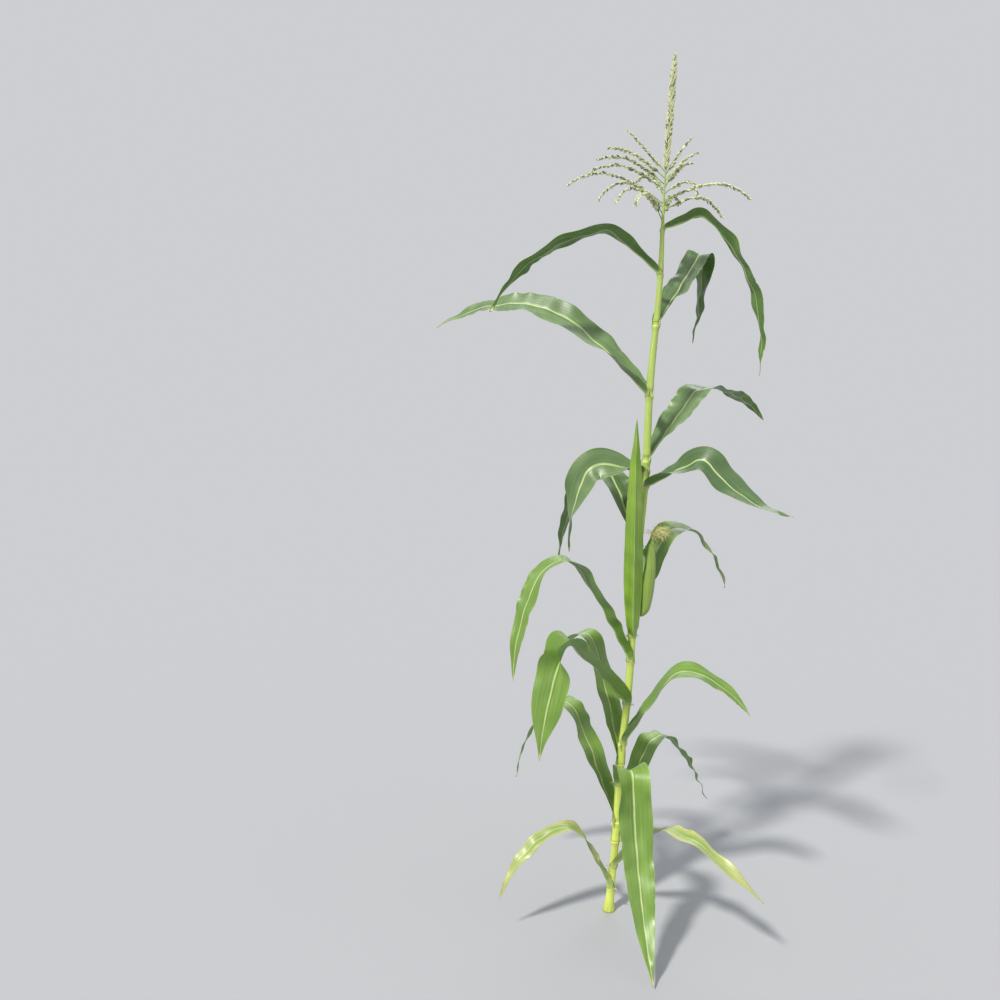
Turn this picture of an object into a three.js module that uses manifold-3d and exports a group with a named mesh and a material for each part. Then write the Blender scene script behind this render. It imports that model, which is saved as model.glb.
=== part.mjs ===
// A full-grown maize plant in flower: one jointed stem, nineteen long arching leaves that stand out of it
// left and right by turns, one ear in its husk with a tuft of silk, and a branched tassel at the top.
// Millimetres, +Z up. The ground is the plane z = 0, and the origin is the middle of the stem's flat cut.

import * as THREE from 'three';
import { mergeVertices } from 'three/addons/utils/BufferGeometryUtils.js';
import Module from 'manifold-3d';

const wasm = await Module();
wasm.setup();

// Driving dimensions of the stem
const STEM_HEIGHT = 2105; // from the ground to the foot of the tassel's spike
const FOOT_RADIUS = 10.4;
const TOP_RADIUS = 2.8;
const TAPER_START = 10; // a higher number keeps the stem thick for longer
const TAPER_END = 1.9;
const FLARE = 7; // how far the foot spreads at the ground
const FLARE_HEIGHT = 26;
const JOINT_SWELL = 1.7; // how far a joint stands proud where a leaf leaves the stem
const JOINT_HALF = 8;
const LEAN = 0.0788; // sideways millimetres for each millimetre of height, at the ground
const LEAN_EASE = 6.2e-6; // how fast the lean straightens
const BACK_BOW = 14; // how far the middle of the stem bows backwards
const ZIGZAG = 3; // how far the stem swings to each side of its line
const ZIGZAG_PACE = 88; // height for each radian of the zigzag
const ZIGZAG_FULL_AT = 300; // the zigzag grows from nothing at the ground to its full swing at this height
const STEM_SIDES = 10;
const FOOT_LEVELS = [0, 10, 24, 45]; // heights of the rings of the flared foot

// Driving dimensions that all leaves share
const GAP = 0.35; // clearance between neighbouring solids
const SAME_PLACE = 1e-4; // corners nearer than this are one corner
const THICKNESS_SHARE = 0.0105; // thickness of a blade as a share of its length
const EDGE_SHARE = 0.6; // thickness of its margin as a share of that
const COLLAR_SHARE = 0.4; // width at the stem as a share of the full width
const WIDEST_AT = 0.34; // share of the length at which a blade has its full width
const TIP_FALL = 0.85; // with each leaf's fullness, sets how the blade narrows to its tip
const TIP_HALF = 1; // half the width left at the very tip
const KEEL_AT_STEM = 46; // degrees that each half of the blade folds up beside the stem
const KEEL_OPEN = 11;
const FOLD_PAST = 0.06; // share of the length from the bend to the middle of a fold
const FOLD_HALF = 0.06; // half the share of the length that a fold takes
const WAVE_LENGTH = 150; // one ripple of a leaf's margin
const WAVE_SKEW = 1.3; // radians by which the ripples of the two margins are out of step, each way
const SPINE_STEPS = 160; // short straight steps that make up the middle line of a leaf, branch or ear
const LAST_SHARE = 0.999999; // the end of that line, kept inside its last step
const BLADE_STEPS = 18; // rings along a whole leaf
const LEAST_STEPS = 6; // rings that the rising part has at least
const BLADE_STRIPS = 4; // strips across a blade
const LOWER_FACE = 5; // place of the lower face among the six faces of a box
const SQUARE_INDICES = 6; // corner numbers that make up the two triangles of a square

// Each leaf: height where it leaves the stem, heading seen from above (0 is +X, 90 is +Y), length, width,
// climb, after and tip (its slope in degrees above level at the stem, just past the bend, and at the tip),
// bend and ease (where along it the bend lies, and how much of it the bend takes), sway (the turn of its
// heading by the tip), roll and rollTip (the turn of the blade about its midrib), wave (the ripple of its
// margins), keel (the least slope of its two halves), fold (how much more they fold together just past the
// bend) and fullness (a higher number keeps the blade wide for longer).
const LEAF_DEFAULTS = {
  ease: 0.3, sway: 0, roll: 0, rollTip: 0, wave: 5, keel: KEEL_OPEN, fold: 0, fullness: 3.2, whole: false,
};
const LEAVES = [
  { name: 'leaf_01', height: 70, heading: 200, length: 540, width: 52,
    climb: 62, bend: 0.44, ease: 0.35, after: -12, tip: -72, roll: -12, rollTip: -40 },
  { name: 'leaf_02', height: 130, heading: 312, length: 560, width: 58,
    climb: 48, bend: 0.45, ease: 0.4, after: -18, tip: -38, sway: 16, rollTip: 30 },
  { name: 'leaf_03', height: 205, heading: 52, length: 740, width: 76,
    climb: 56, bend: 0.45, ease: 0.3, after: -35, tip: -62, sway: -14, rollTip: 45 },
  { name: 'leaf_04', height: 262, heading: 132, length: 740, width: 80,
    climb: 62, bend: 0.5, ease: 0.2, after: -35, tip: -80, sway: 10, rollTip: -40 },
  { name: 'leaf_05', height: 372, heading: 276, length: 700, width: 102,
    climb: 38, bend: 0.25, ease: 0.12, after: -84, tip: -44, wave: 3 },
  { name: 'leaf_06', height: 432, heading: 112, length: 640, width: 76,
    climb: 70, bend: 0.6, ease: 0.14, after: -20, tip: -70, sway: 40, rollTip: -40 },
  { name: 'leaf_07', height: 492, heading: 345, length: 510, width: 84,
    climb: 57, bend: 0.54, ease: 0.2, after: -8, tip: -56, roll: 14, rollTip: 40 },
  { name: 'leaf_08', height: 610, heading: 215, length: 620, width: 118, fold: 56, fullness: 5,
    climb: 45, bend: 0.48, ease: 0.1, after: -62, tip: -84, roll: -4, rollTip: -60, wave: 2 },
  { name: 'leaf_09', height: 735, heading: 200, length: 760, width: 82,
    climb: 60, bend: 0.5, ease: 0.28, after: -52, tip: -90, rollTip: -60 },
  { name: 'leaf_10', height: 806, heading: 266, length: 640, width: 78,
    climb: 28, bend: 0.06, ease: 0.05, after: 86, tip: 84, keel: 46, wave: 2, whole: true },
  { name: 'leaf_11', height: 850, heading: 46, sway: -24, length: 620, width: 88,
    climb: 62, bend: 0.5, ease: 0.4, after: -24, tip: -72, roll: 12, rollTip: 45 },
  { name: 'leaf_12', height: 1060, heading: 114, length: 740, width: 90,
    climb: 56, bend: 0.42, ease: 0.4, after: -40, tip: -80, sway: 8, rollTip: -30 },
  { name: 'leaf_13', height: 1232, heading: 326, length: 480, width: 94, fullness: 4.5,
    climb: 28, bend: 0.4, ease: 0.16, after: -56, tip: -8, roll: 44, rollTip: 0 },
  { name: 'leaf_14', height: 1275, heading: 188, length: 410, width: 98,
    climb: 12, bend: 0.38, ease: 0.26, after: -66, tip: -88, roll: -72, rollTip: 40 },
  { name: 'leaf_15', height: 1304, heading: 42, length: 700, width: 88,
    climb: 43, bend: 0.44, ease: 0.1, after: 8, tip: -34, roll: 20, rollTip: -30 },
  { name: 'leaf_16', height: 1488, heading: 156, length: 780, width: 102,
    climb: 46, bend: 0.52, ease: 0.7, after: -2, tip: -22, roll: -46, rollTip: -40 },
  { name: 'leaf_17', height: 1680, heading: 46, length: 600, width: 86,
    climb: 46, bend: 0.55, ease: 0.07, after: -92, tip: -112, roll: 8, rollTip: 50 },
  { name: 'leaf_18', height: 1822, heading: 188, length: 600, width: 60,
    climb: 40, bend: 0.3, ease: 0.08, after: -6, tip: -62, roll: 15, rollTip: 50 },
  { name: 'leaf_19', height: 1944, heading: 332, length: 590, width: 62,
    climb: 14, bend: 0.19, ease: 0.08, after: -42, tip: -98, roll: -20, rollTip: -50 },
].map((leaf) => ({ ...LEAF_DEFAULTS, ...leaf }));

// The ear stands on a short shank in the leaf axil, and its silk spreads from the tip of the husk
const EAR = { height: 858, heading: 352, length: 250,
  climb: 34, bend: 0.16, ease: 0.14, after: 84, tip: 85 };
const EAR_SIDES = 10;
const EAR_RINGS = 14;
const SHANK_RADIUS = 6.5;
const SHANK_TAPER = 0.4;
const HUSK_RADIUS = 18.5;
const HUSK_START = 0.1; // share of the ear's length
const HUSK_ROUND = { from: 0.06, to: 0.96, low: 0.8, full: 0.7 }; // its outline follows part of a sine wave
const SILK_STRANDS = 9;
const SILK_SPREAD = 110; // degrees to each side of the ear's heading
const SILK_LIFT = { middle: 62, swing: 16, pace: 2.4 }; // slope at which the strands leave the husk
const SILK_TURN = 60; // degrees that a strand turns down by its middle
const SILK_FALL = 150; // and by its tip
const SILK_LENGTH = 88;
const SILK_RADIUS = { root: 1.3, tip: 0.65 };
const SILK_RINGS = 5;
const SILK_CORE = { radius: 5.5, height: 12, sides: 6, rings: 2, taper: 0.3 };

// The tassel: a straight spike, and side branches that leave the stem below it
const SPIKE = { length: 308, radius: 9.4, foot: 0.34, sides: 8, rings: 26 };
const SPIKE_ROUND = { from: 0.08, to: 0.92 }; // its outline follows this part of a sine wave
const BRANCH = { radius: 5.2, taper: 0.45, sides: 4, rings: 15 };
const STALK = { radius: 1.7, share: 0.14, swell: 0.12 }; // the bare foot of a branch, in shares of it
const BUMP = 0.22; // how far the spikelets stand in and out of a tassel branch, as a share of its radius
const BRANCHES = [
  { name: 'tassel_01', height: 1962, heading: 197, length: 205, climb: 66, tip: -72 },
  { name: 'tassel_02', height: 1972, heading: 62, length: 190, climb: 58, tip: -30 },
  { name: 'tassel_03', height: 1982, heading: 226, length: 165, climb: 44, tip: -74 },
  { name: 'tassel_04', height: 1992, heading: 22, length: 225, climb: 34, tip: -58 },
  { name: 'tassel_05', height: 2002, heading: 164, length: 225, climb: 50, tip: -58 },
  { name: 'tassel_06', height: 2012, heading: 187, length: 300, climb: 36, tip: -38 },
  { name: 'tassel_07', height: 2021, heading: 352, length: 255, climb: 26, tip: -48 },
  { name: 'tassel_08', height: 2030, heading: 108, length: 200, climb: 56, tip: -20 },
  { name: 'tassel_09', height: 2038, heading: 322, length: 130, climb: 34, tip: -88 },
  { name: 'tassel_10', height: 2047, heading: 172, length: 225, climb: 42, tip: -24 },
  { name: 'tassel_11', height: 2056, heading: 300, length: 120, climb: 40, tip: -12 },
  { name: 'tassel_12', height: 2064, heading: 192, length: 215, climb: 38, tip: -22 },
  { name: 'tassel_13', height: 2072, heading: 354, length: 115, climb: 52, tip: 24 },
  { name: 'tassel_14', height: 2080, heading: 178, length: 180, climb: 44, tip: 4 },
  { name: 'tassel_15', height: 2088, heading: 12, length: 132, climb: 60, tip: 46 },
  { name: 'tassel_16', height: 2096, heading: 168, length: 160, climb: 52, tip: 44 },
].map((branch) => ({ bend: 0.5, ease: 1, after: (branch.climb + branch.tip) / 2, ...branch }));

const { degToRad, lerp, smoothstep } = THREE.MathUtils;

// Stem

function stemAxis(height) {
  const sideways = LEAN * height - LEAN_EASE * height * height;
  const back = BACK_BOW * Math.sin((Math.PI * height) / STEM_HEIGHT);
  const zigzag = ZIGZAG * Math.sin(height / ZIGZAG_PACE) * smoothstep(height, 0, ZIGZAG_FULL_AT);
  return new THREE.Vector3(sideways + zigzag, back, height);
}

function stemRadius(height) {
  const share = Math.min(1, height / STEM_HEIGHT);
  const taper = TOP_RADIUS + (FOOT_RADIUS - TOP_RADIUS) * (1 - share ** TAPER_START) ** TAPER_END;
  const flare = FLARE * Math.exp(-height / FLARE_HEIGHT);
  const joint = LEAVES.reduce((sum, leaf) => {
    const off = (height - leaf.height) / JOINT_HALF;
    return sum + JOINT_SWELL * Math.exp(-off * off);
  }, 0);
  return taper + flare + joint;
}

// Heights of the stem's rings: close together at the foot and at each joint
function stemLevels() {
  const levels = [...FOOT_LEVELS, STEM_HEIGHT];
  for (const leaf of LEAVES) {
    levels.push(leaf.height - JOINT_HALF, leaf.height, leaf.height + JOINT_HALF);
  }
  return levels.sort((a, b) => a - b);
}

function stemShape(extra) {
  const levels = stemLevels();
  return roundBody(STEM_SIDES, levels.length - 1, (ring) => ({
    centre: stemAxis(levels[ring]),
    right: new THREE.Vector3(1, 0, 0),
    along: new THREE.Vector3(0, 0, 1),
    radius: stemRadius(levels[ring]) + extra,
  }));
}

// Lines that leave the stem

// Direction of a leaf, branch or ear at a share of its length, with the blade's side and face directions
function frameAt(limb, share) {
  const bent = smoothstep(share, limb.bend - limb.ease / 2, limb.bend + limb.ease / 2);
  const past = Math.max(0, (share - limb.bend) / (1 - limb.bend));
  const slope = degToRad(lerp(limb.climb, limb.after, bent) + (limb.tip - limb.after) * past);
  const heading = degToRad(limb.heading + (limb.sway ?? 0) * share);
  const level = new THREE.Vector3(Math.cos(heading), Math.sin(heading), 0);
  const along = level.clone().multiplyScalar(Math.cos(slope)).setZ(Math.sin(slope));
  const side = new THREE.Vector3(-level.y, level.x, 0);
  const roll = share < limb.bend
    ? (limb.roll ?? 0) * smoothstep(share, 0, limb.bend)
    : lerp(limb.roll ?? 0, limb.rollTip ?? 0, past);
  side.applyAxisAngle(along, degToRad(roll));
  return { along, side, face: along.clone().cross(side) };
}

// The middle line, stepped out from the stem's axis
function spineOf(limb) {
  const spine = [stemAxis(limb.height)];
  for (let step = 0; step < SPINE_STEPS; step += 1) {
    const { along } = frameAt(limb, (step + 0.5) / SPINE_STEPS);
    spine.push(spine[step].clone().addScaledVector(along, limb.length / SPINE_STEPS));
  }
  return spine;
}

function pointOn(spine, share) {
  const place = Math.min(share, LAST_SHARE) * SPINE_STEPS;
  const step = Math.floor(place);
  return spine[step].clone().lerp(spine[step + 1], place - step);
}

// Solids from bent boxes and cylinders

// Moves each corner of a three.js shape to its place, with the corners that coincide merged first
function reshape(shape, place) {
  shape.deleteAttribute('normal');
  shape.deleteAttribute('uv');
  const geometry = mergeVertices(shape, SAME_PLACE);
  const corners = geometry.getAttribute('position');
  for (let i = 0; i < corners.count; i += 1) {
    const corner = place(new THREE.Vector3().fromBufferAttribute(corners, i));
    corners.setXYZ(i, corner.x, corner.y, corner.z);
  }
  geometry.computeVertexNormals();
  return geometry;
}

// A cylinder bent along a line: ringAt gives each ring's centre, cross direction, line direction and radius
function roundBody(sides, rings, ringAt) {
  const levels = Array.from({ length: rings + 1 }, (_, ring) => ringAt(ring));
  return reshape(new THREE.CylinderGeometry(1, 1, 1, sides, rings), (corner) => {
    const ring = Math.round((corner.y + 0.5) * rings);
    const { centre, right, along, radius, bump = 0 } = levels[ring];
    const spoke = Math.round((Math.atan2(corner.x, corner.z) / (2 * Math.PI)) * sides);
    const reach = radius * (1 + ((spoke + ring) % 2 === 0 ? bump : -bump));
    const front = right.clone().cross(along);
    return centre.clone().addScaledVector(right, corner.x * reach).addScaledVector(front, corner.z * reach);
  });
}

function toSolid(geometry) {
  return new wasm.Manifold(new wasm.Mesh({
    numProp: 3,
    vertProperties: new Float32Array(geometry.getAttribute('position').array),
    triVerts: new Uint32Array(geometry.getIndex().array),
  }));
}

function toGeometry(solid) {
  const mesh = solid.getMesh();
  const geometry = new THREE.BufferGeometry();
  geometry.setAttribute('position', new THREE.BufferAttribute(mesh.vertProperties, 3));
  geometry.setIndex(new THREE.BufferAttribute(mesh.triVerts, 1));
  geometry.computeVertexNormals();
  return geometry;
}

const stemSpace = toSolid(stemShape(GAP)); // the stem with its clearance

// What is left of a shape outside the stem and outside the other spaces named, without loose scraps
function clearOfStem(geometry, ...others) {
  const left = others.reduce((rest, other) => rest.subtract(other), toSolid(geometry).subtract(stemSpace));
  const bodies = left.decompose().sort((a, b) => b.volume() - a.volume());
  return toGeometry(bodies[0]);
}

// Leaves

function halfWidth(leaf, share) {
  const opening = lerp(COLLAR_SHARE, 1, Math.sin((Math.PI / 2) * Math.min(1, share / WIDEST_AT)));
  return (leaf.width / 2) * opening * (1 - share ** leaf.fullness) ** TIP_FALL + TIP_HALF;
}

// The slope of the blade's two halves, steep where the leaf clasps the stem and where it folds past its bend
function keelAt(leaf, share) {
  const opening = lerp(KEEL_AT_STEM, KEEL_OPEN, smoothstep(share, 0, WIDEST_AT));
  const fold = leaf.fold * Math.exp(-(((share - leaf.bend - FOLD_PAST) / FOLD_HALF) ** 2));
  return degToRad(Math.max(leaf.keel, opening) + fold);
}

// A point of the blade: share along it, across from -1 to 1, and through its thickness from -1 to 1
function bladePoint(leaf, spine, share, across, through) {
  const { side, face } = frameAt(leaf, share);
  const half = halfWidth(leaf, share);
  const keel = keelAt(leaf, share);
  const ripples = (2 * Math.PI * share * leaf.length) / WAVE_LENGTH;
  const swing = Math.sin(Math.PI * share) * Math.sin(ripples + WAVE_SKEW * across);
  const ripple = leaf.wave * across ** 2 * swing;
  const thickness = leaf.length * THICKNESS_SHARE * lerp(1, EDGE_SHARE, Math.abs(across));
  const lift = half * Math.abs(across) * Math.sin(keel) + ripple + (through * thickness) / 2;
  return pointOn(spine, share)
    .addScaledVector(side, half * across * Math.cos(keel))
    .addScaledVector(face, lift);
}

// A flat box whose lower face is split along the same diagonals as its upper face, so that the two stay one
// thickness apart when the box is twisted into a blade
function bladeBox(steps) {
  const box = new THREE.BoxGeometry(1, 2, 2, steps, BLADE_STRIPS, 1);
  const lowerFace = box.groups[LOWER_FACE];
  const triangles = box.getIndex().array;
  for (let i = lowerFace.start; i < lowerFace.start + lowerFace.count; i += SQUARE_INDICES) {
    const [a, b, d, , c] = triangles.slice(i, i + SQUARE_INDICES);
    triangles.set([a, b, c, a, c, d], i);
  }
  return box;
}

function bladeShape(leaf, start, end, steps) {
  const spine = spineOf(leaf);
  return reshape(bladeBox(steps), ({ x, y, z }) => (
    bladePoint(leaf, spine, lerp(start, end, x + 0.5), y, z)
  ));
}

// A leaf that arches is split at its bend into the part that rises and the part that hangs
function leafPieces(leaf) {
  if (leaf.whole) {
    return [{ name: leaf.name, shape: bladeShape(leaf, 0, 1, BLADE_STEPS) }];
  }
  const gap = GAP / leaf.length;
  const risingSteps = Math.max(LEAST_STEPS, Math.round(leaf.bend * BLADE_STEPS));
  return [
    { name: `${leaf.name}_rise`, shape: bladeShape(leaf, 0, leaf.bend, risingSteps) },
    { name: `${leaf.name}_droop`, shape: bladeShape(leaf, leaf.bend + gap, 1, BLADE_STEPS - risingSteps) },
  ];
}

// Ear and silk

// Radius of the ear: a thin shank first, and then the husk, which swells and closes to a blunt tip
function earRadius(share) {
  const shank = SHANK_RADIUS * (1 - SHANK_TAPER * share);
  if (share <= HUSK_START) {
    return shank;
  }
  const place = lerp(HUSK_ROUND.from, HUSK_ROUND.to, (share - HUSK_START) / (1 - HUSK_START));
  const husk = HUSK_RADIUS * Math.sin(Math.PI * place ** HUSK_ROUND.low) ** HUSK_ROUND.full;
  return Math.max(shank, husk);
}

function earShape(extra) {
  const spine = spineOf(EAR);
  return roundBody(EAR_SIDES, EAR_RINGS, (ring) => {
    const share = ring / EAR_RINGS;
    const { along, side } = frameAt(EAR, share);
    return { centre: pointOn(spine, share), right: side, along, radius: earRadius(share) + extra };
  });
}

// One strand of silk: a thin three-sided thread that rises and falls over, away from the husk's tip
function silkStrand(root, heading, climb) {
  const line = { heading, climb, bend: 0.5, ease: 1, after: climb - SILK_TURN, tip: climb - SILK_FALL };
  const centre = root.clone();
  const levels = [];
  for (let ring = 0; ring <= SILK_RINGS; ring += 1) {
    const share = ring / SILK_RINGS;
    const { along, side } = frameAt(line, share);
    const radius = lerp(SILK_RADIUS.root, SILK_RADIUS.tip, share);
    levels.push({ centre: centre.clone(), right: side, along, radius });
    centre.addScaledVector(along, SILK_LENGTH / SILK_RINGS);
  }
  return roundBody(3, SILK_RINGS, (ring) => levels[ring]);
}

function silkShape() {
  const { along, side } = frameAt(EAR, 1);
  const tip = pointOn(spineOf(EAR), 1).addScaledVector(along, GAP);
  const core = roundBody(SILK_CORE.sides, SILK_CORE.rings, (ring) => ({
    centre: tip.clone().addScaledVector(along, (SILK_CORE.height * ring) / SILK_CORE.rings),
    right: side,
    along,
    radius: SILK_CORE.radius * (1 - SILK_CORE.taper * ring),
  }));
  const root = tip.clone().addScaledVector(along, SILK_CORE.height / 2);
  let tuft = toSolid(core);
  for (let strand = 0; strand < SILK_STRANDS; strand += 1) {
    const heading = EAR.heading + lerp(-SILK_SPREAD, SILK_SPREAD, strand / (SILK_STRANDS - 1));
    const climb = SILK_LIFT.middle + SILK_LIFT.swing * Math.sin(strand * SILK_LIFT.pace);
    tuft = tuft.add(toSolid(silkStrand(root, heading, climb)));
  }
  return toGeometry(tuft);
}

// Tassel

function spikeShape() {
  const foot = stemAxis(STEM_HEIGHT + GAP);
  const along = stemAxis(STEM_HEIGHT + SPIKE.length).sub(stemAxis(STEM_HEIGHT)).normalize();
  const right = new THREE.Vector3(0, 1, 0).cross(along).normalize();
  return roundBody(SPIKE.sides, SPIKE.rings, (ring) => {
    const share = ring / SPIKE.rings;
    const round = Math.sqrt(Math.sin(Math.PI * lerp(SPIKE_ROUND.from, SPIKE_ROUND.to, share)));
    return {
      centre: foot.clone().addScaledVector(along, SPIKE.length * share),
      right,
      along: ring === 0 ? new THREE.Vector3(0, 0, 1) : along,
      radius: SPIKE.radius * lerp(SPIKE.foot, 1, round),
      bump: ring === 0 ? 0 : BUMP,
    };
  });
}

function branchShape(branch) {
  const spine = spineOf(branch);
  return roundBody(BRANCH.sides, BRANCH.rings, (ring) => {
    const share = ring / BRANCH.rings;
    const { along, side } = frameAt(branch, share);
    const flowering = smoothstep(share, STALK.share, STALK.share + STALK.swell);
    return {
      centre: pointOn(spine, share),
      right: side,
      along,
      radius: lerp(STALK.radius, BRANCH.radius, flowering) * (1 - BRANCH.taper * share ** 2),
      bump: BUMP * flowering,
    };
  });
}

// Materials

const finishes = {
  stem: new THREE.MeshStandardMaterial({ color: 0x9fb83e, roughness: 0.5, metalness: 0 }),
  leaf: new THREE.MeshStandardMaterial({ color: 0x3f6b2a, roughness: 0.55, metalness: 0 }),
  husk: new THREE.MeshStandardMaterial({ color: 0x86923f, roughness: 0.6, metalness: 0 }),
  silk: new THREE.MeshStandardMaterial({ color: 0xc3bf84, roughness: 0.5, metalness: 0 }),
  tassel: new THREE.MeshStandardMaterial({ color: 0xc9c684, roughness: 0.75, metalness: 0 }),
};

// Assembly

const plant = new THREE.Group();

function addPiece(name, shape, finish) {
  const piece = new THREE.Mesh(shape, finish);
  piece.name = name;
  plant.add(piece);
}

addPiece('stem', stemShape(0), finishes.stem);
const earSpace = toSolid(earShape(GAP));
for (const leaf of LEAVES) {
  for (const { name, shape } of leafPieces(leaf)) {
    addPiece(name, clearOfStem(shape, earSpace), finishes.leaf);
  }
}
addPiece('ear', clearOfStem(earShape(0)), finishes.husk);
addPiece('silk', silkShape(), finishes.silk);
addPiece('tassel_spike', spikeShape(), finishes.tassel);
for (const branch of BRANCHES) {
  addPiece(branch.name, clearOfStem(branchShape(branch)), finishes.tassel);
}

export default plant;
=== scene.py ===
# The looks of a maize plant in flower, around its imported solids. Rules are in millimetres, and each mesh is
# turned to metres when it is made.

from dataclasses import dataclass
from math import pi, radians, sin, sqrt

import bpy
import numpy as np
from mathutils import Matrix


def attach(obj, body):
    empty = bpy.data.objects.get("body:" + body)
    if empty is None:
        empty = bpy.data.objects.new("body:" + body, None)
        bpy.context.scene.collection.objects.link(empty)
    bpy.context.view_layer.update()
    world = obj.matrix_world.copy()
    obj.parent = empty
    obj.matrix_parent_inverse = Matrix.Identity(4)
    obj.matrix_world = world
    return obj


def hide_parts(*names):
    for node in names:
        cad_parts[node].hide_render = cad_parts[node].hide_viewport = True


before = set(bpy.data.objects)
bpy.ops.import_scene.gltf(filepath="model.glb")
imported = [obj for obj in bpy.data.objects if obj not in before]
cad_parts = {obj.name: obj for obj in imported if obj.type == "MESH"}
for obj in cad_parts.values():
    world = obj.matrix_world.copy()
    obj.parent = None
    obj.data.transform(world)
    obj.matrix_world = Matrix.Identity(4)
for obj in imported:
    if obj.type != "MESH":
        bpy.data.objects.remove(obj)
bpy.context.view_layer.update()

METRE = 0.001  # one millimetre in metres
UP = np.array([0, 0, 1.0])

# Stage, in metres and degrees
CAMERA_PLACE = (-0.317, -2.49, 1.395)
CAMERA_PITCH = -4.5
CAMERA_LENS = 32.0
SKY_STRENGTH = 0.64
SKY_COLOUR = (0.95, 0.97, 1.0, 1)
FLOOR_COLOUR = (0.3644, 0.3738, 0.3971, 1)
FLOOR_HALF = 30.0

# Stem. A pair of values is a range here and below: from one to the other.
STEM_HEIGHT = 2105
FOOT_RADIUS = 10.4
TOP_RADIUS = 2.8
TAPER_START = 10
TAPER_END = 1.9
FLARE = 7
FLARE_HEIGHT = 26
JOINT_SWELL = 1.7
JOINT_HALF = 8
LEAN = 0.0788
LEAN_EASE = 6.2e-6
BACK_BOW = 14
ZIGZAG = 3
ZIGZAG_PACE = 88
ZIGZAG_FULL_AT = 300
STEM_SIDES = 64
STEM_STEP = 4.0
BARE_SINK = 0.5  # how far it lies below the solid's surface
LOWEST_SHEATH = -40  # below the ground
SHEATH_COVER = 0.9  # share of the way to the joint below that a sheath wraps the stem
SHEATH_THICK = 0.7
SHEATH_PAST = 1.5  # how far a sheath reaches past its joint
SEAM_RISE = 0.55
SEAM_WIDTH = radians(50)
SEAM_SHOWN = 0.16  # turn over which the pale edge of a sheath shows, in radians
NODE_RING_RISE = 0.9
NODE_RING_HALF = 2.6
NODE_RING_SHOWN = 0.35  # share of its rise from which its own material shows
BUTTRESS = 0.9  # swelling over each hidden root round the foot
BUTTRESS_COUNT = 9
GREENING = (250, 1300)  # heights over which the stem turns from yellow to green
DULL_TOP = (1850, 2080)  # heights over which it turns duller
DARKER_FOOT = (40, 0)  # heights over which the foot turns darker and browner, downwards

# Leaves
COLLAR_SHARE = 0.4
WIDEST_AT = 0.34
TIP_FALL = 0.85
FOLD_PAST = 0.06  # share past a leaf's bend at which its crease is deepest
FOLD_HALF = 0.06
TIP_DRAW = 0.24  # how much slimmer a leaf's tip is than in the solids
TIP_DRAW_MORE = 0.2  # added for each step of fullness above the plain one
TIP_DRAW_FROM = 0.76
LEAST_HALF = 0.4
PLAIN_FULLNESS = 3.2
LINES_SPREAD = 0.4  # how far the map narrows with the blade: 0 not at all, 1 fully
KEEL_AT_STEM = 46
KEEL_OPEN = 11
WAVE_LENGTH = 150
WAVE_SKEW = 1.3
RUFFLE = 1.7  # how many times deeper the margins' waves are than in the solids
SMALL_WAVE = 44  # length of the small ruffles between them
SMALL_RUFFLE = 0.6  # their depth, as a share of the solids' waves
PLEAT_WIDTH = 9
SPINE_STEPS = 160
BLADE_ROW = 4.6  # length of blade for each row of faces
BLADE_THICK = 0.55
RIB_HALF = (4.4, 0.8)  # half width of the midrib, foot to tip, of a blade RIB_BLADE wide
RIB_BLADE = 84
GROOVE = (1.5, 0.25)  # depth of the groove over the midrib, from foot to tip
GROOVE_BELOW = 0.4  # share of the groove that the lower face follows
RIDGE = (2.6, 0.35)  # height of the ridge under it
MARGIN = 0.7  # width of the pale cord along each margin
NICK_LIMIT = 0.32  # deepest nick, as a share of the way from margin to midrib
NICKS_START = (40, 90)
SWELLINGS_START = (20, 120)
VEIN_PITCH = 4.2  # width of blade for each pale vein
RIB_COLUMNS = 3
BLADE_COLUMNS = 15
LAST_COLUMN = 3  # place of the outermost column
CLASP_REACH = 30  # reach over which a blade's foot curls round the stem
CLASP_TURN = radians(112)
CLASP_DROP = 3
CLASP_CLIMB = 0.45
CLASP_HORNS = 5  # rise of the foot's sides over its middle
CLEAR_INSIDE = 1.9  # room between the stem's own rule and a blade's upper face
CLEAR_OUTSIDE = 2.6
CLEAR_REACH = 90
FOOT_RISE = 8  # reach over which the foot comes out of the sheath below it


@dataclass
class Limb:
    """A leaf, the ear or a branch of the tassel: a bent line out of the stem. Angles are in degrees."""

    name: str
    height: float
    heading: float
    length: float
    width: float
    climb: float
    bend: float
    ease: float
    after: float
    tip: float
    look: str = "deep"
    sway: float = 0
    roll: float = 0
    roll_tip: float = 0
    wave: float = 5
    keel: float = KEEL_OPEN
    fold: float = 0
    fullness: float = PLAIN_FULLNESS
    pleats: float = 0.22  # depth of the lengthwise pleats of the blade
    whole: bool = False


def leaf(number, *rules, **more):
    return Limb(f"leaf_{number:02d}", *rules, **more)


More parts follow.
